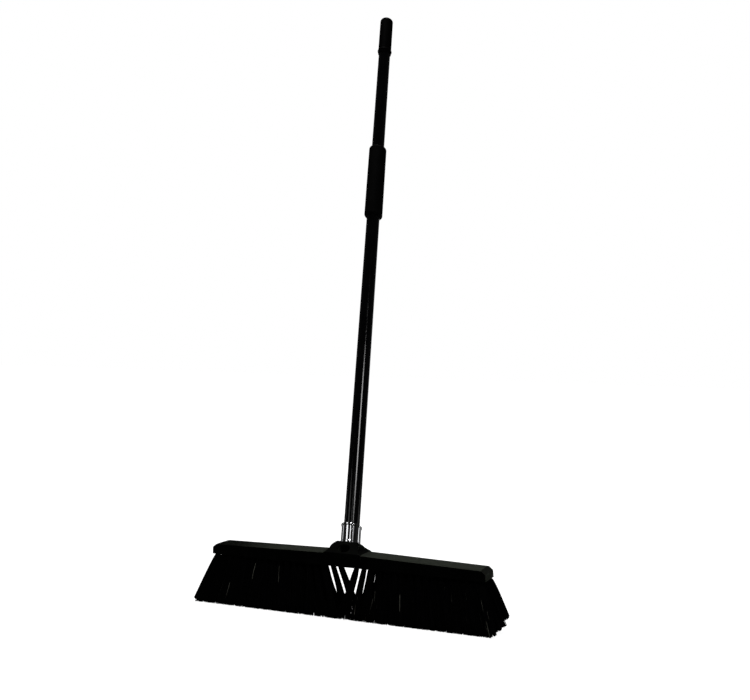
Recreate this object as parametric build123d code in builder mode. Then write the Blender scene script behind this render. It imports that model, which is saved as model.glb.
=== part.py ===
import os
from math import cos, radians, sin, tan

from build123d import *

# Yard broom, millimetres. The floor is z = 0, the head runs along X and the handle leans back to +Y.

# Head block
block_length = 460.0
block_depth = 60.0
trim_height = 66.0
side_height_middle = 16.9
side_height_end = 12.8
crown = 0.7
crown_width = 36.0
skirt_below_side = 5.6
skirt_step = 1.0
end_face_height = 8.3
end_bevel_run = 7.0
corner_radius = 3.0

# Hub in the middle of the block, with one handle socket facing each way
handle_lean = 23.7
seat_offset = 17.5
seat_height = 23.2
hub_top_half = 22.0
hub_flank_height = 25.0
hub_base_half = 31.5
hub_base_height = 16.5
hub_flank_sag = 0.4
hub_shoulder_radius = 2.0
hub_ridge_radius = 6.0
boss_radius = 24.0
boss_depth = 24.0
socket_radius = 9.5
socket_depth = 18.0
socket_chamfer = 1.0

# Tufts
tuft_length = 80.0
tuft_root_radius = 3.6
tuft_tip_radius = 5.2
hole_clearance = 0.05
hole_depth = 11.0
root_depth = 8.6
hole_lead = 5.0
anchor_height = 1.8
anchor_width = 5.0
anchor_thickness = 0.5
anchor_gap = 0.2
columns = 16
first_column = 35.0
last_column = 222.0
outer_row = 21.0
inner_row = 7.0
outer_row_lean = 7.5
inner_row_lean = 2.0
left_end_lean = 30.0
right_end_lean = 17.0
right_end_lean_to_back = 7.5
right_end_tuft_length = 61.0
right_end_length_to_back = -5.0
end_columns = 9
end_curve = 1.4
hub_side_lean = 17.0
hub_side_columns = 3
centre_foot = 22.5
centre_lean = 21.0

# Handle, distances measured along it from the socket mouth
seat_gap = 0.2
thread_clearance = 0.05
thread_length = 16.0
tube_radius = 13.2
tube_wall = 1.2
plug_clearance = 0.1
tip_disc = 3.0
tip_plug_end = 36.0
ferrule_radius = 16.4
ferrule_wall = 1.2
ferrule_end = 27.6
lip_radius = 17.7
lip_height = 2.4
bead_radius = 17.3
bead_height = 2.4
collar_below_lip = 6.0
joint_gap = 0.3
joint_into_grip = 25.0
coupling_plug_length = 42.0
stud_radius = 7.0
stud_length = 30.0
stud_clearance = 0.05
stud_end_room = 2.0
grip_start = 575.0
grip_length = 159.5
grip_radius = 18.5
grip_shoulder = 4.6
grip_clearance = 0.45
handle_length = 1086.5
cap_length = 102.5
cap_top = 17.0
cap_radius = 15.0
cap_bead_radius = 16.4
cap_bead_above_start = 7.0
cap_bead_height = 7.0
cap_dome = 9.0
press_clearance = 0.05

lean_sine = sin(radians(handle_lean))
lean_cosine = cos(radians(handle_lean))
underside = trim_height
seat_level = underside + seat_height
hub_flank_top = underside + hub_flank_height
half_length = block_length / 2
half_depth = block_depth / 2
tube_bore = tube_radius - tube_wall
plug_radius = tube_bore - plug_clearance
hole_radius = tuft_root_radius + hole_clearance
column_pitch = (last_column - first_column) / (columns - 1)
joint_at = grip_start + joint_into_grip
grip_end = grip_start + grip_length
cap_start = handle_length - cap_length
cap_bead_at = cap_start + cap_bead_above_start
upper_tube_end = handle_length - cap_top

back_seat = Plane(origin=(0, seat_offset, seat_level), x_dir=(1, 0, 0), z_dir=(0, lean_sine, lean_cosine))
front_seat = Plane(origin=(0, -seat_offset, seat_level), x_dir=(1, 0, 0), z_dir=(0, -lean_sine, lean_cosine))
handle_section = Plane(
    origin=(0, seat_offset, seat_level), x_dir=(1, 0, 0), z_dir=(0, -lean_cosine, lean_sine)
)
handle_axis = Axis((0, seat_offset, seat_level), (0, lean_sine, lean_cosine))


def block_section(side_height):
    skirt = underside + side_height - skirt_below_side
    face = half_depth - skirt_step
    half = [(half_depth, underside), (half_depth, skirt - skirt_step), (face, skirt)]
    half += [(face, underside + side_height), (crown_width / 2, underside + side_height + crown)]
    Polygon(*half, *[(-y, z) for y, z in reversed(half)], align=None)


def tuft_plane(foot_x, foot_y, lean_x, lean_y):
    along = Vector(tan(radians(lean_x)), tan(radians(lean_y)), -1).normalized()
    across = (Vector(1, 0, 0) - along * along.X).normalized()
    return Plane(origin=(foot_x, foot_y, underside), x_dir=across, z_dir=along)


def end_tuft(side, row_y):
    # The left end of the bristles is splayed evenly, the right end more and shorter towards the back
    if side < 0:
        return left_end_lean, tuft_length
    to_back = row_y / outer_row
    lean = right_end_lean + right_end_lean_to_back * to_back
    length = right_end_tuft_length + right_end_length_to_back * to_back
    return lean, length


def wing_tufts(side, row_y, row_lean, shift, count):
    end_lean, end_length = end_tuft(side, row_y)
    tufts = []
    for column in range(count):
        foot = first_column + (column + shift) * column_pitch
        from_end = (last_column - foot) / column_pitch
        from_hub = (foot - first_column) / column_pitch
        near_end = max(0.0, 1 - from_end / end_columns) ** end_curve
        inward = hub_side_lean * max(0.0, 1 - from_hub / hub_side_columns)
        plane = tuft_plane(side * foot, row_y, side * (end_lean * near_end - inward), row_lean)
        tufts.append((plane, tuft_length + (end_length - tuft_length) * near_end))
    return tufts


def outer_row_tufts(side, face):
    return wing_tufts(side, face * outer_row, face * outer_row_lean, 0.0, columns)


def inner_row_tufts(side, face):
    return wing_tufts(side, face * inner_row, face * inner_row_lean, 0.5, columns - 1)


def crossing_tufts():
    tufts = []
    for side in (-1, 1):
        plane = tuft_plane(side * centre_foot, -side * outer_row, -side * centre_lean, -side * outer_row_lean)
        tufts.append((plane, tuft_length))
    return tufts


def all_tuft_planes():
    tufts = crossing_tufts()
    for side in (-1, 1):
        for face in (-1, 1):
            tufts += outer_row_tufts(side, face) + inner_row_tufts(side, face)
    return [plane for plane, length in tufts]


def add_tufts(tufts):
    for plane, length in tufts:
        spread = (tuft_tip_radius - tuft_root_radius) / length
        with BuildSketch(plane.offset(-root_depth)) as root:
            Circle(tuft_root_radius - root_depth * spread)
        with BuildSketch(plane.offset(length)) as tip:
            Circle(tuft_tip_radius)
        loft([root.sketch.face(), tip.sketch.face()])
    split(bisect_by=Plane.XY, keep=Keep.TOP)


def turn_profile(points):
    with BuildSketch(handle_section) as profile:
        Polygon(*points, align=None)
    revolve(profile.sketch, axis=handle_axis)


with BuildPart() as head_block:
    with BuildSketch(Plane.YZ):
        block_section(side_height_middle)
    with BuildSketch(Plane.YZ.offset(half_length)):
        block_section(side_height_end)
    loft(ruled=True)
    bevel_rise = side_height_end + crown - end_face_height
    split(
        bisect_by=Plane(
            origin=(half_length, 0, underside + end_face_height),
            x_dir=(0, 1, 0),
            z_dir=(bevel_rise, 0, end_bevel_run),
        ),
        keep=Keep.BOTTOM,
    )
    mirror(about=Plane.YZ)
    with BuildSketch(Plane.XY.offset(underside)):
        RectangleRounded(block_length, block_depth, corner_radius)
    extrude(amount=2 * side_height_middle, mode=Mode.INTERSECT)
    # The hub's flanks are as deep as the block
    flank_middle = ((hub_top_half + hub_base_half) / 2 - hub_flank_sag,
                    (hub_flank_top + underside + hub_base_height) / 2 - hub_flank_sag)
    with BuildSketch(Plane.XZ):
        with BuildLine():
            foot_right = (hub_base_half, underside + hub_base_height)
            foot_left = (-hub_base_half, underside + hub_base_height)
            top_right = (hub_top_half, hub_flank_top)
            top_left = (-hub_top_half, hub_flank_top)
            Polyline(foot_left, (-hub_base_half, underside), (hub_base_half, underside), foot_right)
            ThreePointArc(foot_right, flank_middle, top_right)
            Line(top_right, top_left)
            ThreePointArc(top_left, (-flank_middle[0], flank_middle[1]), foot_left)
        hub_face = make_face()
        fillet(hub_face.vertices().group_by(Axis.Y)[-1], hub_shoulder_radius)
    extrude(amount=half_depth, both=True)
    # Each socket stands in a round boss that leans with the handle and ends at the block's faces
    with BuildPart(mode=Mode.PRIVATE) as bosses:
        with BuildSketch(back_seat, front_seat):
            Circle(boss_radius)
        extrude(amount=-boss_depth)
        with BuildSketch(Plane.XY.offset(underside)):
            Rectangle(2 * boss_radius + 1, block_depth)
        extrude(amount=2 * seat_height, mode=Mode.INTERSECT)
    add(bosses.part)
    split(bisect_by=back_seat, keep=Keep.BOTTOM)
    split(bisect_by=front_seat, keep=Keep.BOTTOM)
    ridge_line = head_block.edges().filter_by(Axis.X).sort_by(Axis.Z)[-1]
    fillet(ridge_line, hub_ridge_radius)
    with BuildSketch(back_seat, front_seat):
        Circle(socket_radius)
    extrude(amount=-socket_depth, mode=Mode.SUBTRACT)
    mouths = head_block.edges().filter_by(
        lambda edge: edge.geom_type == GeomType.CIRCLE
        and abs(edge.radius - socket_radius) < 0.01
        and abs(edge.arc_center.Z - seat_level) < 0.01
    )
    chamfer(mouths, socket_chamfer)
    for plane in all_tuft_planes():
        with BuildSketch(plane.offset(hole_lead)):
            Circle(hole_radius)
    extrude(amount=-(hole_depth + hole_lead), mode=Mode.SUBTRACT)

with BuildPart() as left_front_outer_tufts:
    add_tufts(outer_row_tufts(-1, -1))

with BuildPart() as left_front_inner_tufts:
    add_tufts(inner_row_tufts(-1, -1))

with BuildPart() as left_back_inner_tufts:
    add_tufts(inner_row_tufts(-1, 1))

with BuildPart() as left_back_outer_tufts:
    add_tufts(outer_row_tufts(-1, 1))

with BuildPart() as right_front_outer_tufts:
    add_tufts(outer_row_tufts(1, -1))

with BuildPart() as right_front_inner_tufts:
    add_tufts(inner_row_tufts(1, -1))

with BuildPart() as right_back_inner_tufts:
    add_tufts(inner_row_tufts(1, 1))

with BuildPart() as right_back_outer_tufts:
    add_tufts(outer_row_tufts(1, 1))

with BuildPart() as centre_tufts:
    add_tufts(crossing_tufts())

# A flat wire anchor sits above each tuft, at the bottom of its hole
with BuildPart() as tuft_anchors:
    for plane in all_tuft_planes():
        with BuildSketch(plane.offset(-(root_depth + anchor_gap))):
            Rectangle(anchor_width, anchor_thickness)
    extrude(amount=-anchor_height)

with BuildPart() as threaded_tip:
    thread_radius = socket_radius - thread_clearance
    collar_radius = ferrule_radius - ferrule_wall - plug_clearance
    collar_end = ferrule_end - collar_below_lip
    slot_inside = plug_radius
    slot_outside = tube_radius + plug_clearance
    turn_profile([
        (0, -thread_length),
        (thread_radius - socket_chamfer, -thread_length),
        (thread_radius, -thread_length + socket_chamfer),
        (thread_radius, seat_gap),
        (collar_radius, seat_gap),
        (collar_radius, collar_end),
        (slot_outside, collar_end),
        (slot_outside, tip_disc),
        (slot_inside, tip_disc),
        (slot_inside, tip_plug_end),
        (0, tip_plug_end),
    ])

with BuildPart() as ferrule:
    ferrule_bore = ferrule_radius - ferrule_wall
    lip_bore = tube_radius + plug_clearance
    turn_profile([
        (ferrule_bore, seat_gap),
        (bead_radius, seat_gap),
        (bead_radius, seat_gap + bead_height),
        (ferrule_radius, seat_gap + bead_height + bead_radius - ferrule_radius),
        (ferrule_radius, ferrule_end - lip_height - (lip_radius - ferrule_radius)),
        (lip_radius, ferrule_end - lip_height),
        (lip_radius, ferrule_end - 0.8),
        (lip_radius - 0.8, ferrule_end),
        (lip_bore, ferrule_end),
        (lip_bore, ferrule_end - ferrule_wall),
        (ferrule_bore, ferrule_end - ferrule_wall),
    ])

with BuildPart() as lower_tube:
    turn_profile([
        (tube_bore, tip_disc),
        (tube_radius, tip_disc),
        (tube_radius, joint_at),
        (tube_bore, joint_at),
    ])

with BuildPart() as coupling_spigot:
    turn_profile([
        (0, joint_at - coupling_plug_length),
        (plug_radius, joint_at - coupling_plug_length),
        (plug_radius, joint_at),
        (stud_radius, joint_at),
        (stud_radius, joint_at + stud_length - 1),
        (stud_radius - 1, joint_at + stud_length),
        (0, joint_at + stud_length),
    ])

with BuildPart() as coupling_socket:
    socket_start = joint_at + joint_gap
    stud_room = stud_radius + stud_clearance
    turn_profile([
        (stud_room, socket_start),
        (plug_radius, socket_start),
        (plug_radius, socket_start + coupling_plug_length),
        (0, socket_start + coupling_plug_length),
        (0, joint_at + stud_length + stud_end_room),
        (stud_room, joint_at + stud_length + stud_end_room),
    ])

with BuildPart() as upper_tube:
    turn_profile([
        (tube_bore, joint_at + joint_gap),
        (tube_radius, joint_at + joint_gap),
        (tube_radius, upper_tube_end),
        (tube_bore, upper_tube_end),
    ])

with BuildPart() as grip:
    hold_radius = tube_radius + press_clearance
    free_radius = tube_radius + grip_clearance
    turn_profile([
        (free_radius, grip_start),
        (grip_radius, grip_start),
        (grip_radius, grip_end),
        (hold_radius, grip_end),
        (hold_radius, joint_at + joint_gap + 1),
        (free_radius, joint_at + joint_gap + 1),
    ])
    shoulders = grip.edges().filter_by(
        lambda edge: edge.geom_type == GeomType.CIRCLE and abs(edge.radius - grip_radius) < 0.01
    )
    fillet(shoulders, grip_shoulder)

with BuildPart() as top_cap:
    cap_bore = tube_radius + press_clearance
    with BuildSketch(handle_section):
        with BuildLine():
            bead_low = (cap_radius, cap_bead_at - cap_bead_height / 2)
            bead_high = (cap_radius, cap_bead_at + cap_bead_height / 2)
            Polyline(
                (0, upper_tube_end),
                (cap_bore, upper_tube_end),
                (cap_bore, cap_start),
                (cap_radius, cap_start),
                bead_low,
            )
            ThreePointArc(bead_low, (cap_bead_radius, cap_bead_at), bead_high)
            Polyline(bead_high, (cap_radius, handle_length), (0, handle_length), (0, upper_tube_end))
        make_face()
    revolve(axis=handle_axis)
    crown = top_cap.edges().filter_by(GeomType.CIRCLE).sort_by(handle_axis)[-1]
    fillet(crown, cap_dome)

pieces = {
    "head_block": head_block,
    "left_front_outer_tufts": left_front_outer_tufts,
    "left_front_inner_tufts": left_front_inner_tufts,
    "left_back_inner_tufts": left_back_inner_tufts,
    "left_back_outer_tufts": left_back_outer_tufts,
    "right_front_outer_tufts": right_front_outer_tufts,
    "right_front_inner_tufts": right_front_inner_tufts,
    "right_back_inner_tufts": right_back_inner_tufts,
    "right_back_outer_tufts": right_back_outer_tufts,
    "centre_tufts": centre_tufts,
    "tuft_anchors": tuft_anchors,
    "threaded_tip": threaded_tip,
    "ferrule": ferrule,
    "lower_tube": lower_tube,
    "coupling_spigot": coupling_spigot,
    "coupling_socket": coupling_socket,
    "upper_tube": upper_tube,
    "grip": grip,
    "top_cap": top_cap,
}
os.makedirs("parts", exist_ok=True)
for label, piece in pieces.items():
    piece.part.label = label
    export_step(piece.part, "parts/" + label + ".step")
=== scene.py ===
import math
import random
from collections import namedtuple

import bpy
import numpy as np
from mathutils import Matrix, Vector


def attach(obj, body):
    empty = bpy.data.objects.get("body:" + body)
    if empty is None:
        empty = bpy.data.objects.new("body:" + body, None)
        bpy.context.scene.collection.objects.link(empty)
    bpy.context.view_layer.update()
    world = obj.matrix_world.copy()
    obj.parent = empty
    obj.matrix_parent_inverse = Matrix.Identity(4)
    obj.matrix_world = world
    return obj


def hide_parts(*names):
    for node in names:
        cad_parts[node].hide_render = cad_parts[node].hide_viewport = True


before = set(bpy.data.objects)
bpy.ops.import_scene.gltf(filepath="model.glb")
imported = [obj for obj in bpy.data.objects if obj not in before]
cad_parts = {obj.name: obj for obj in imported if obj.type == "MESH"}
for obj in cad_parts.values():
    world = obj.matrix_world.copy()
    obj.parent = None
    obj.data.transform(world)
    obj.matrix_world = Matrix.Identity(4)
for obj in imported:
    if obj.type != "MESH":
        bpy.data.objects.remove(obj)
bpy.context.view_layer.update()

scene = bpy.context.scene
scene.view_settings.view_transform = "Standard"

# Camera fitted to the photograph: focal length and optical centre in its pixels, axes and place in the frame
FOCAL = 1049.26
CENTRE = (193.87, -238.05)
IMAGE = (750, 700)
SENSOR_WIDTH = 36
CLIP_END = 100
RIGHT = np.array((0.900264, 0.434714, 0.023417))
DOWN = np.array((-0.196407, 0.453572, -0.869308))
FORWARD = np.array((-0.388522, 0.778008, 0.493716))
EYE = np.array((0.69675, -2.03641, 0.35331))

# The handle's axis and the middle of its ferrule, in metres
HANDLE_AXIS = np.array((0.0, 0.401948, 0.915663))
FERRULE_MIDDLE = np.array((0.0, 0.0243, 0.1048))

# Tufts: their feet under the block and their length, in metres, and their leans, in degrees
BLOCK_UNDERSIDE = 0.066
FIRST_COLUMN = 0.035
LAST_COLUMN = 0.222
COLUMNS = 16
PITCH = (LAST_COLUMN - FIRST_COLUMN) / (COLUMNS - 1)
OUTER_ROW = 0.021
INNER_ROW = 0.007
OUTER_ROW_LEAN = 7.5
INNER_ROW_LEAN = 2.0
TUFT_LENGTH = 0.080
TUFT_ROOT_RADIUS = 0.0034
# The tufts next to the hub lean in under it, and two more cross there
HUB_LEAN = 17.0
HUB_COLUMNS = 3
CENTRE_FOOT = 0.0225
CENTRE_LEAN = 21.0
CENTRE_TIPS = 0.013
CENTRE_FAN = 3.0
# Lean and length of the outermost tufts: alike at the left end, by row at the right end
LEFT_END = (30.0, 0.0745)
RIGHT_ENDS = {
    -OUTER_ROW: (11.0, 0.066),
    -INNER_ROW: (22.5, 0.0637),
    INNER_ROW: (27.5, 0.063),
    OUTER_ROW: (24.5, 0.056),
}
END_COLUMNS = 9
END_CURVE = 1.4

# How far the tips spread along the row: as a share of the way to the next tuft, and in metres at its ends
TIPS_TO_NEIGHBOUR = 0.75
TIPS_TO_END = 0.0035
LEFT_TIPS_TO_HUB = 0.008
RIGHT_OUTER_TIPS_TO_HUB = 0.0055
RIGHT_INNER_TIPS_TO_HUB = 0.016
# How late along their length the filaments fan out, and how much a tuft swells below the block
FAN = 1.0
FAN_MORE_AT_HUB = 2.4
FAN_LESS_AT_END = 0.7
LAST_TUFT_FULLNESS = 0.2
LESS_FULL_AT_HUB = 0.5

# Filaments, with lengths in metres. A root follows its tip to that side of the hole, with some scatter,
# and stays within the rim.
FILAMENTS_PER_TUFT = 90
FILAMENT_RADII = (0.00048, 0.00062)
FILAMENT_SPANS = 7
FILAMENT_SIDES = 4
START_IN_BLOCK = 0.005
ROOT_FOLLOWS = 0.8
ROOT_SCATTER = 0.25
ROOT_RIM = 0.97
# A curve under 1 brings more filaments to the front and the back of the tuft
DEPTH_CURVE = 0.6
TIP_DEPTH = 0.0055
TIP_SCATTER = 0.0004
# The shortest filament, by share of its length, and the height of the trimmed tips
SHORTEST_BY = 0.03
TRIM_LEAST = 0.0002
TRIM_RANGE = 0.0004
# How far the filaments bulge below the block, and how near the block a curve under 1 puts that
BULGE = 0.0012
MORE_BULGE_WHEN_FULL = 0.0018
BULGE_SCATTER = 0.0004
BULGE_CURVE = 0.6
LESS_CURVE_WHEN_FULL = 0.2
# Share of filaments with a painted glint in the rows that the photograph shows, and how many points of each
# are pale
GLINT_SHARES = {"left": 0.004, "right": 0.03}
GLINT_STARTS = (2, 6)
GLINT_SPANS = 2
DARK_TONES = 0.8
GLINT_TONE = 1.0

# The painted sheen on the block, a lighter grey that stands in for light on its top and right end and for a
# highlight on the hub's ridge:
# its colour, its share on thin places and in the grain, where along the block it thins out, in metres, and
# how far a face must turn up, or to the right end, to carry it
PAINTED_SHEEN_COLOUR = (0.040, 0.044, 0.035, 1)
PAINTED_SHEEN_ON_HUB = 0.04
PAINTED_HIGHLIGHT_ON_RIDGE = 0.8
PAINTED_SHEEN_AT_LEFT_END = 0.1
PAINTED_SHEEN_IN_GRAIN = (0.45, 1.05)
HUB_EDGE = (0.024, 0.045)
LEFT_FADE = (-0.2, -0.1)
TOP_FACING = (0.7, 0.97)
RIDGE_FACING = (0.96, 0.995)
END_FACING = (0.7, 0.95)
# Sockets of a colour Mix node, whose names are shared by other types of value
MIX_FIRST, MIX_SECOND, MIX_RESULT = 6, 7, 2

# Light boxes, placed by where they show in the ferrule: share of its half width, metres up the handle,
# size, watts. The first five stand in it as upright stripes, and the last one draws the line up the
# lower tube.
BOX_DISTANCE = 2.2
BOXES = (
    ("far_left_box", -0.82, 0.0, (0.35, 0.16), 0.13),
    ("left_box", -0.43, 0.0, (0.8, 0.16), 0.57),
    ("near_left_box", -0.11, 0.0, (0.22, 0.16), 0.2),
    ("near_right_box", 0.17, 0.0, (0.5, 0.16), 0.08),
    ("right_box", 0.74, 0.0, (0.3, 0.16), 0.23),
    ("tube_box", 0.13, 0.3, (0.5, 0.42), 7.8),
)
TOP_BOX = {"place": (-0.3, 0.7, 3.4), "target": (0.0, 0.0, 0.1), "size": (0.7, 1.2), "watts": 60.0}

# The backdrop's direction and its soft edges, to the sides and above the horizon, and the dim level round
# the camera and beside the object
BEHIND = (-0.139, 0.990, 0.0)
BACKDROP_EDGE = (0.955, 0.99)
HORIZON_EDGE = (0.1, 0.4)
SIDE_FADE = (-0.6, 0.6)
DIM_LEVELS = (0.006, 0.03)
# The floor, in metres: near the object it is a little short of white by itself
FLOOR_HALF = 30.0
FLOOR_LEVEL = -0.0005
FLOOR_FADE = (0.8, 4.0)
FLOOR_NEAR = 0.95

Tuft = namedtuple("Tuft", "foot way reach tips fan fullness trimmed")


def add_camera():
    # The photograph is an off-centre crop, so the camera hangs from a stretched parent that slants its view
    # the same way
    off_right = (IMAGE[0] / 2 - CENTRE[0]) / FOCAL
    off_down = (IMAGE[1] / 2 - CENTRE[1]) / FOCAL
    off_centre = FORWARD + off_right * RIGHT + off_down * DOWN
    stretch = np.linalg.norm(off_centre)
    columns = np.stack([RIGHT, -DOWN, -off_centre / stretch], axis=1)
    turn, scales, inner = np.linalg.svd(columns)
    if np.linalg.det(turn) < 0:
        turn, inner = -turn, -inner
    rig = bpy.data.objects.new("camera_rig", None)
    scene.collection.objects.link(rig)
    rig.rotation_mode = "QUATERNION"
    rig.location = EYE.tolist()
    rig.rotation_quaternion = Matrix(turn.tolist()).to_quaternion()
    rig.scale = scales.tolist()
    data = bpy.data.cameras.new("camera")
    data.sensor_width = SENSOR_WIDTH
    data.lens = SENSOR_WIDTH * FOCAL * stretch / IMAGE[0]
    data.clip_end = CLIP_END
    camera = bpy.data.objects.new("camera", data)
    scene.collection.objects.link(camera)
    camera.parent = rig
    camera.rotation_mode = "QUATERNION"
    camera.rotation_quaternion = Matrix(inner.tolist()).to_quaternion()
    scene.camera = camera


def new_material(name):
    material = bpy.data.materials.new(name)
    material.use_nodes = True
    tree = material.node_tree
    return material, tree, tree.nodes["Principled BSDF"]


def add_noise(tree, scale, detail, roughness=0.5, stretch=None):
    place = tree.nodes.new("ShaderNodeTexCoord")
    noise = tree.nodes.new("ShaderNodeTexNoise")
    noise.inputs["Scale"].default_value = scale
    noise.inputs["Detail"].default_value = detail
    noise.inputs["Roughness"].default_value = roughness
    source = place.outputs["Object"]
    if stretch:
        mapping = tree.nodes.new("ShaderNodeMapping")
        mapping.inputs["Scale"].default_value = stretch
        tree.links.new(source, mapping.inputs["Vector"])
        source = mapping.outputs["Vector"]
    tree.links.new(source, noise.inputs["Vector"])
    return noise.outputs["Fac"]


def add_ramp(tree, source, low, high, start=0.3, end=0.7, smooth=False):
    # Unless told otherwise, the range that most of a noise lies in
    ramp = tree.nodes.new("ShaderNodeMapRange")
    ramp.interpolation_type = "SMOOTHSTEP" if smooth else "LINEAR"
    ramp.inputs["From Min"].default_value = start
    ramp.inputs["From Max"].default_value = end
    ramp.inputs["To Min"].default_value = low
    ramp.inputs["To Max"].default_value = high
    tree.links.new(source, ramp.inputs["Value"])
    return ramp.outputs["Result"]


def add_fade(tree, source, start, end, low=0.0, high=1.0):
    return add_ramp(tree, source, low, high, start, end, smooth=True)


def add_colours(tree, source, low, high, start=0.3, end=0.7):
    ramp = tree.nodes.new("ShaderNodeValToRGB")
    ramp.color_ramp.elements[0].position = start
    ramp.color_ramp.elements[0].color = (*low, 1)
    ramp.color_ramp.elements[1].position = end
    ramp.color_ramp.elements[1].color = (*high, 1)
    tree.links.new(source, ramp.inputs["Fac"])
    return ramp.outputs["Color"]


def add_math(tree, operation, *sources, clamp=False):
    node = tree.nodes.new("ShaderNodeMath")
    node.operation = operation
    node.use_clamp = clamp
    for source, socket in zip(sources, node.inputs):
        tree.links.new(source, socket)
    return node.outputs["Value"]


def add_split(tree, source):
    split = tree.nodes.new("ShaderNodeSeparateXYZ")
    tree.links.new(source, split.inputs["Vector"])
    return split.outputs


def add_bump(tree, shader, height, strength, distance, earlier=None):
    bump = tree.nodes.new("ShaderNodeBump")
    bump.inputs["Strength"].default_value = strength
    bump.inputs["Distance"].default_value = distance
    tree.links.new(height, bump.inputs["Height"])
    if earlier:
        tree.links.new(earlier, bump.inputs["Normal"])
    tree.links.new(bump.outputs["Normal"], shader.inputs["Normal"])
    return bump.outputs["Normal"]


def add_painted_sheen(tree, colour, flow):
    # A grey painted sheen that stands in for light on the block's top and right end, following the grain. It
    # is thin on the hub below its ridge and towards the left end. On the ridge it is a painted highlight
    place = tree.nodes.new("ShaderNodeTexCoord")
    facing = add_split(tree, place.outputs["Normal"])
    spot = add_split(tree, place.outputs["Object"])
    off_hub = add_fade(tree, add_math(tree, "ABSOLUTE", spot["X"]), *HUB_EDGE, low=PAINTED_SHEEN_ON_HUB)
    on_ridge = add_fade(tree, facing["Z"], *RIDGE_FACING, high=PAINTED_HIGHLIGHT_ON_RIDGE)
    off_left_end = add_fade(tree, spot["X"], *LEFT_FADE, low=PAINTED_SHEEN_AT_LEFT_END)
    share = add_math(tree, "MULTIPLY", add_math(tree, "MAXIMUM", off_hub, on_ridge), off_left_end)
    top = add_math(tree, "MULTIPLY", add_fade(tree, facing["Z"], *TOP_FACING), share, clamp=True)
    right_end = add_fade(tree, facing["X"], *END_FACING)
    grained = add_ramp(tree, flow, *PAINTED_SHEEN_IN_GRAIN)
    painted_sheen = add_math(tree, "MULTIPLY", add_math(tree, "MAXIMUM", top, right_end), grained)
    mix = tree.nodes.new("ShaderNodeMix")
    mix.data_type = "RGBA"
    tree.links.new(painted_sheen, mix.inputs["Factor"])
    tree.links.new(colour, mix.inputs[MIX_FIRST])
    # The colour of the painted sheen
    mix.inputs[MIX_SECOND].default_value = PAINTED_SHEEN_COLOUR
    return mix.outputs[MIX_RESULT]


def moulded_plastic(name, dark, light, roughness, grain, painted_sheen=False):
    material, tree, shader = new_material(name)
    shader.inputs["Specular IOR Level"].default_value = 0.006
    cloud = add_noise(tree, scale=38.0, detail=4.0)
    flow = add_noise(tree, scale=1.0, detail=4.0, roughness=0.65, stretch=(70.0, 330.0, 330.0))
    fine = add_noise(tree, scale=grain, detail=2.0)
    colour = add_colours(tree, cloud, dark, light)
    # A painted sheen, standing in for light, lightens the top and right end
    if painted_sheen:
        colour = add_painted_sheen(tree, colour, flow)
    tree.links.new(colour, shader.inputs["Base Color"])
    tree.links.new(add_ramp(tree, flow, *roughness), shader.inputs["Roughness"])
    grained = add_bump(tree, shader, fine, strength=0.25, distance=0.0004)
    add_bump(tree, shader, flow, strength=0.12, distance=0.0008, earlier=grained)
    return material


def painted_steel(name):
    material, tree, shader = new_material(name)
    shader.inputs["Specular IOR Level"].default_value = 0.4
    peel = add_noise(tree, scale=260.0, detail=2.0)
    dust = add_noise(tree, scale=30.0, detail=5.0)
    colour = add_colours(tree, dust, (0.0012, 0.0012, 0.0015), (0.0026, 0.0026, 0.003))
    tree.links.new(colour, shader.inputs["Base Color"])
    tree.links.new(add_ramp(tree, dust, 0.08, 0.14), shader.inputs["Roughness"])
    add_bump(tree, shader, peel, strength=0.02, distance=0.0003)
    return material


def bright_plate(name):
    material, tree, shader = new_material(name)
    shader.inputs["Metallic"].default_value = 1.0
    haze = add_noise(tree, scale=60.0, detail=4.0)
    lines = add_noise(tree, scale=1.0, detail=2.0, stretch=(12.0, 12.0, 2600.0))
    colour = add_colours(tree, haze, (0.72, 0.73, 0.75), (0.84, 0.84, 0.85))
    tree.links.new(colour, shader.inputs["Base Color"])
    tree.links.new(add_ramp(tree, haze, 0.03, 0.07), shader.inputs["Roughness"])
    add_bump(tree, shader, lines, strength=0.015, distance=0.0002)
    return material


def grip_rubber(name):
    material, tree, shader = new_material(name)
    shader.inputs["Specular IOR Level"].default_value = 0.02
    pores = add_noise(tree, scale=900.0, detail=3.0, roughness=0.6)
    cloud = add_noise(tree, scale=45.0, detail=4.0)
    colour = add_colours(tree, cloud, (0.0008, 0.0008, 0.0009), (0.002, 0.002, 0.002))
    tree.links.new(colour, shader.inputs["Base Color"])
    tree.links.new(add_ramp(tree, pores, 0.62, 0.85), shader.inputs["Roughness"])
    add_bump(tree, shader, pores, strength=0.5, distance=0.0005)
    return material


def bristle_plastic(name):
    # Black by each filament's tone, and pale where a filament carries a painted glint
    material, tree, shader = new_material(name)
    shader.inputs["Specular IOR Level"].default_value = 0.03
    tone = tree.nodes.new("ShaderNodeAttribute")
    tone.attribute_name = "tone"
    colour = add_colours(tree, tone.outputs["Fac"], (0.0007, 0.0007, 0.0009), (0.0022, 0.0022, 0.0026),
                         start=0.0, end=0.85)
    # A painted glint: the pale colour at the top of the tone range
    painted_glint = colour.node.color_ramp.elements.new(0.97)
    painted_glint.color = (0.16, 0.16, 0.135, 1)
    tree.links.new(colour, shader.inputs["Base Color"])
    roughness = add_ramp(tree, tone.outputs["Fac"], 0.6, 0.45, start=0.0, end=1.0)
    tree.links.new(roughness, shader.inputs["Roughness"])
    return material


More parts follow.
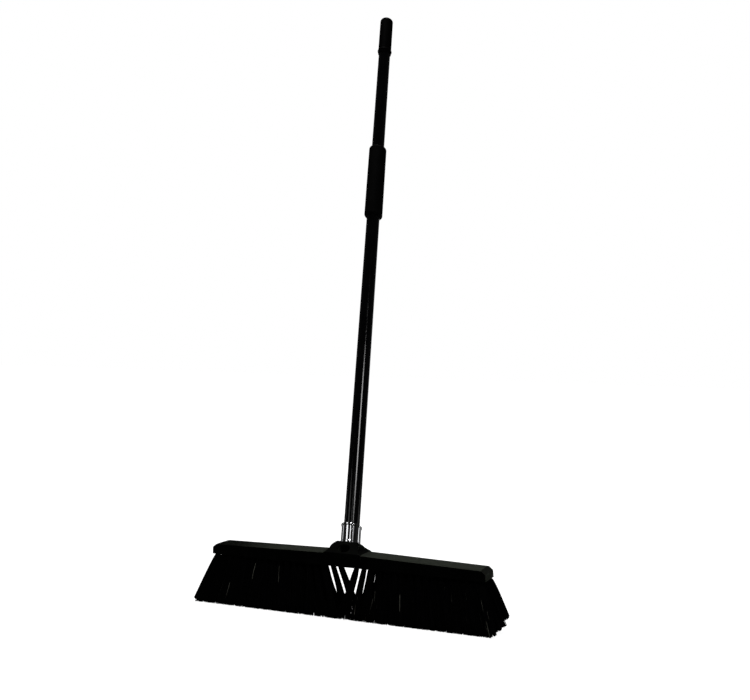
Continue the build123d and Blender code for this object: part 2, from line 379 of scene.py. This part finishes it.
def drawn_wire(name):
    material, tree, shader = new_material(name)
    shader.inputs["Metallic"].default_value = 1.0
    lines = add_noise(tree, scale=400.0, detail=2.0)
    colour = add_colours(tree, lines, (0.4, 0.4, 0.41), (0.6, 0.6, 0.61))
    tree.links.new(colour, shader.inputs["Base Color"])
    tree.links.new(add_ramp(tree, lines, 0.25, 0.4), shader.inputs["Roughness"])
    return material


def make_tuft(foot_x, foot_y, lean_x, lean_y, length, tips, fan, fullness):
    # A tuft that would reach past the floor is trimmed level with it
    way = Vector((math.tan(math.radians(lean_x)), math.tan(math.radians(lean_y)), -1)).normalized()
    to_floor = BLOCK_UNDERSIDE / -way.z
    foot = Vector((foot_x, foot_y, BLOCK_UNDERSIDE))
    return Tuft(foot, way, min(length, to_floor), tips, fan, fullness, length >= to_floor)


def wing_tufts(side, face, place):
    # One row of tufts on one side of the hub: an inner row stands half a pitch further out, with one fewer
    outer = place == "outer"
    row = face * (OUTER_ROW if outer else INNER_ROW)
    row_lean = face * (OUTER_ROW_LEAN if outer else INNER_ROW_LEAN)
    end_lean, end_length = RIGHT_ENDS[row] if side > 0 else LEFT_END
    count = COLUMNS if outer else COLUMNS - 1
    shift = 0.0 if outer else 0.5
    feet = [FIRST_COLUMN + (column + shift) * PITCH for column in range(count)]
    near_ends = [max(0.0, 1 - (LAST_COLUMN - foot) / PITCH / END_COLUMNS) ** END_CURVE for foot in feet]
    near_hubs = [max(0.0, 1 - (foot - FIRST_COLUMN) / PITCH / HUB_COLUMNS) for foot in feet]
    leans = [end_lean * near_end - HUB_LEAN * near_hub for near_end, near_hub in zip(near_ends, near_hubs)]
    reaches = [foot + BLOCK_UNDERSIDE * math.tan(math.radians(lean)) for foot, lean in zip(feet, leans)]
    # Each tuft fans out past the middle of the gap to its neighbour
    gaps = [TIPS_TO_NEIGHBOUR * (b - a) for a, b in zip(reaches, reaches[1:])]
    right_to_hub = RIGHT_OUTER_TIPS_TO_HUB if outer else RIGHT_INNER_TIPS_TO_HUB
    inward = [right_to_hub if side > 0 else LEFT_TIPS_TO_HUB] + gaps
    outward = gaps + [TIPS_TO_END]
    tufts = []
    for column, foot in enumerate(feet):
        near_end, near_hub = near_ends[column], near_hubs[column]
        tips = (-inward[column], outward[column]) if side > 0 else (-outward[column], inward[column])
        length = TUFT_LENGTH + (end_length - TUFT_LENGTH) * near_end
        fan = FAN + FAN_MORE_AT_HUB * near_hub - FAN_LESS_AT_END * near_end
        end_fullness = LAST_TUFT_FULLNESS if column == count - 1 else 1.0
        fullness = near_end * end_fullness - LESS_FULL_AT_HUB * near_hub
        tufts.append(make_tuft(side * foot, row, side * leans[column], row_lean, length, tips, fan, fullness))
    return tufts


def centre_tufts():
    # Two tufts that cross under the hub, the left one in the back row and the right one in the front row
    tips = (-CENTRE_TIPS, CENTRE_TIPS)
    return [make_tuft(side * CENTRE_FOOT, -side * OUTER_ROW, -side * CENTRE_LEAN, -side * OUTER_ROW_LEAN,
                      TUFT_LENGTH, tips, CENTRE_FAN, fullness=0.0)
            for side in (-1, 1)]


def filament_line(rng, share, tuft):
    # The points along one filament of a tuft, and the two directions across it
    foot, way, reach = tuft.foot, tuft.way, tuft.reach
    side = way.cross(Vector((0, 1, 0))).normalized()
    front = side.cross(way).normalized()
    # The tips are spread evenly along the row, and each root lies near its tip's side of the hole
    u = min(max(ROOT_FOLLOWS * (2 * share - 1) + rng.gauss(0, ROOT_SCATTER), -ROOT_RIM), ROOT_RIM)
    depth = rng.uniform(-1, 1)
    depth = math.copysign(abs(depth) ** DEPTH_CURVE, depth)
    v = depth * math.sqrt(1 - u * u)
    outward = side * u + front * v
    root = foot + outward * TUFT_ROOT_RADIUS
    middle = foot + way * reach
    tip = middle - way * reach * SHORTEST_BY * rng.random()
    along_row = tuft.tips[0] + (tuft.tips[1] - tuft.tips[0]) * share
    tip += side * along_row + front * (TIP_DEPTH * depth + rng.gauss(0, TIP_SCATTER))
    trim = TRIM_LEAST + TRIM_RANGE * rng.random() ** 3
    if tuft.trimmed or tip.z < trim:
        tip = root + (tip - root) * ((root.z - trim) / (root.z - tip.z))
    bulge = outward * (BULGE + MORE_BULGE_WHEN_FULL * tuft.fullness)
    bulge += (side * rng.gauss(0, 1) + front * rng.gauss(0, 1)) * BULGE_SCATTER
    bulge_curve = BULGE_CURVE - LESS_CURVE_WHEN_FULL * tuft.fullness
    line = [root - way * START_IN_BLOCK]
    for i in range(FILAMENT_SPANS + 1):
        t = i / FILAMENT_SPANS
        late = t ** tuft.fan
        point = foot.lerp(middle, t) + (root - foot) * (1 - late) + (tip - middle) * late
        line.append(point + bulge * math.sin(math.pi * t ** bulge_curve))
    return line, side, front


def add_filaments(node, tufts, material, glint_share, seed):
    rng = random.Random(seed)
    verts, faces, tones_and_glints = [], [], []
    for tuft in tufts:
        for filament in range(FILAMENTS_PER_TUFT):
            share = (filament + rng.random()) / FILAMENTS_PER_TUFT
            line, side, front = filament_line(rng, share, tuft)
            radius = rng.uniform(*FILAMENT_RADII)
            tone = DARK_TONES * rng.random() ** 2
            # A few filaments carry a painted glint, pale over a short part of their length
            glint_from = rng.randint(*GLINT_STARTS) if rng.random() < glint_share else len(line)
            base = len(verts)
            for i, p in enumerate(line):
                verts += [p + side * radius, p + front * radius, p - side * radius, p - front * radius]
                tones_and_glints += [GLINT_TONE if glint_from <= i <= glint_from + GLINT_SPANS else tone] * FILAMENT_SIDES
            end = base + FILAMENT_SIDES * (len(line) - 1)
            for ring in range(base, end, FILAMENT_SIDES):
                for corner in range(FILAMENT_SIDES):
                    a, b = ring + corner, ring + (corner + 1) % FILAMENT_SIDES
                    faces.append((a, b, b + FILAMENT_SIDES, a + FILAMENT_SIDES))
            faces.append(tuple(range(end, end + FILAMENT_SIDES)))
    mesh = bpy.data.meshes.new(node.replace("tufts", "filaments"))
    mesh.from_pydata([v[:] for v in verts], [], faces)
    mesh.attributes.new("tone", "FLOAT", "POINT").data.foreach_set("value", tones_and_glints)
    mesh.polygons.foreach_set("use_smooth", [True] * len(faces))
    mesh.materials.append(material)
    obj = bpy.data.objects.new(mesh.name, mesh)
    scene.collection.objects.link(obj)
    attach(obj, "head")
    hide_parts(node)


def paint(material, *nodes):
    for node in nodes:
        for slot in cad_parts[node].material_slots:
            slot.link = "OBJECT"
            slot.material = material


def dress_solids():
    # The block's plastic carries a painted sheen on its top and right end
    block = moulded_plastic("block_plastic", dark=(0.0009, 0.0009, 0.0009), light=(0.002, 0.0022, 0.0019),
                            roughness=(0.6, 0.85), grain=1500.0, painted_sheen=True)
    cap = moulded_plastic("cap_plastic", dark=(0.0008, 0.0008, 0.0009), light=(0.002, 0.002, 0.0021),
                          roughness=(0.5, 0.64), grain=1300.0)
    insert = moulded_plastic("insert_plastic", dark=(0.003, 0.003, 0.003), light=(0.007, 0.007, 0.007),
                             roughness=(0.45, 0.6), grain=1100.0)
    paint(block, "head_block")
    paint(cap, "top_cap")
    paint(insert, "threaded_tip", "coupling_spigot", "coupling_socket")
    paint(painted_steel("handle_paint"), "lower_tube", "upper_tube")
    paint(bright_plate("bright_metal"), "ferrule")
    paint(grip_rubber("grip_rubber"), "grip")
    paint(drawn_wire("anchor_wire"), "tuft_anchors")


def add_bristles():
    bristle = bristle_plastic("bristle")
    seed = 1
    for side, side_name in ((-1, "left"), (1, "right")):
        for face, face_name in ((-1, "front"), (1, "back")):
            for place in ("outer", "inner"):
                node = f"{side_name}_{face_name}_{place}_tufts"
                # Only the front outer rows get filaments with a painted glint
                glint_share = GLINT_SHARES[side_name] if (face_name, place) == ("front", "outer") else 0.0
                add_filaments(node, wing_tufts(side, face, place), bristle, glint_share, seed)
                seed += 1
    add_filaments("centre_tufts", centre_tufts(), bristle, 0.0, seed)


def mirrored_direction(across):
    # Where light must come from to show at this share of the ferrule's half width, right of its middle
    view = EYE - FERRULE_MIDDLE
    view /= np.linalg.norm(view)
    along = view @ HANDLE_AXIS
    out = view - along * HANDLE_AXIS
    reach = np.linalg.norm(out)
    out /= reach
    right = np.cross(HANDLE_AXIS, out)
    if right @ RIGHT < 0:
        right = -right
    turn = 2 * math.asin(across)
    return -along * HANDLE_AXIS + reach * (math.cos(turn) * out + math.sin(turn) * right)


def add_box(name, place, target, size, watts):
    data = bpy.data.lights.new(name, "AREA")
    data.shape = "RECTANGLE"
    data.size, data.size_y = size
    data.energy = watts
    lamp = bpy.data.objects.new(name, data)
    scene.collection.objects.link(lamp)
    lamp.location = Vector(place)
    lamp.rotation_euler = (Vector(target) - lamp.location).to_track_quat("-Z", "Y").to_euler()
    lamp.visible_camera = False


def add_lights():
    for name, across, up, size, watts in BOXES:
        place = FERRULE_MIDDLE + BOX_DISTANCE * mirrored_direction(across) + up * HANDLE_AXIS
        # A raised box faces the point of the handle that mirrors its middle
        target = FERRULE_MIDDLE + 0.5 * up * HANDLE_AXIS
        add_box(name, place, target, size, watts)
    add_box("top_box", **TOP_BOX)


def add_backdrop(tree, direction):
    # 1 behind the object, as the photograph's camera sees it, and 0 to the sides of that
    turn = tree.nodes.new("ShaderNodeVectorMath")
    turn.operation = "DOT_PRODUCT"
    turn.inputs[1].default_value = BEHIND
    tree.links.new(direction, turn.inputs[0])
    return add_fade(tree, turn.outputs["Value"], *BACKDROP_EDGE), turn.outputs["Value"]


def add_sight(tree, backdrop):
    # 1 for rays from the camera, and for mirrored or refracted rays that reach the backdrop
    path = tree.nodes.new("ShaderNodeLightPath")
    bounced = add_math(tree, "MAXIMUM", path.outputs["Is Glossy Ray"], path.outputs["Is Transmission Ray"])
    return add_math(tree, "MULTIPLY_ADD", bounced, backdrop, path.outputs["Is Camera Ray"], clamp=True)


def add_world():
    # White to the camera, and to mirrored or refracted rays that go low behind the object, and else dim
    world = bpy.data.worlds.new("studio")
    scene.world = world
    world.use_nodes = True
    tree = world.node_tree
    background = tree.nodes["Background"]
    background.inputs["Color"].default_value = (1, 1, 1, 1)
    place = tree.nodes.new("ShaderNodeTexCoord")
    direction = place.outputs["Generated"]
    behind, turn = add_backdrop(tree, direction)
    low = add_fade(tree, add_split(tree, direction)["Z"], *HORIZON_EDGE, low=1.0, high=0.0)
    pick = tree.nodes.new("ShaderNodeMix")
    tree.links.new(add_sight(tree, add_math(tree, "MULTIPLY", behind, low)), pick.inputs["Factor"])
    tree.links.new(add_fade(tree, turn, *SIDE_FADE, *DIM_LEVELS), pick.inputs["A"])
    pick.inputs["B"].default_value = 1.0
    tree.links.new(pick.outputs["Result"], background.inputs["Strength"])


def add_floor():
    mesh = bpy.data.meshes.new("floor")
    corners = [(-FLOOR_HALF, -FLOOR_HALF, 0), (FLOOR_HALF, -FLOOR_HALF, 0),
               (FLOOR_HALF, FLOOR_HALF, 0), (-FLOOR_HALF, FLOOR_HALF, 0)]
    mesh.from_pydata(corners, [], [(0, 1, 2, 3)])
    floor = bpy.data.objects.new("floor", mesh)
    scene.collection.objects.link(floor)
    floor.location.z = FLOOR_LEVEL
    material, tree, shader = new_material("floor")
    shader.inputs["Base Color"].default_value = (0.5, 0.5, 0.5, 1)
    shader.inputs["Roughness"].default_value = 0.9
    shader.inputs["Specular IOR Level"].default_value = 0.0
    shader.inputs["Emission Color"].default_value = (1, 1, 1, 1)
    # White by itself far away, and nearly so round the object, where its shadow shows
    place = tree.nodes.new("ShaderNodeTexCoord")
    spot = place.outputs["Object"]
    distance = tree.nodes.new("ShaderNodeVectorMath")
    distance.operation = "LENGTH"
    tree.links.new(spot, distance.inputs[0])
    outward = tree.nodes.new("ShaderNodeVectorMath")
    outward.operation = "NORMALIZE"
    tree.links.new(spot, outward.inputs[0])
    white = add_fade(tree, distance.outputs["Value"], *FLOOR_FADE, low=FLOOR_NEAR)
    behind = add_backdrop(tree, outward.outputs["Vector"])[0]
    glow = add_math(tree, "MULTIPLY", white, add_sight(tree, behind))
    tree.links.new(glow, shader.inputs["Emission Strength"])
    mesh.materials.append(material)


add_camera()
dress_solids()
add_bristles()
add_world()
add_lights()
add_floor()
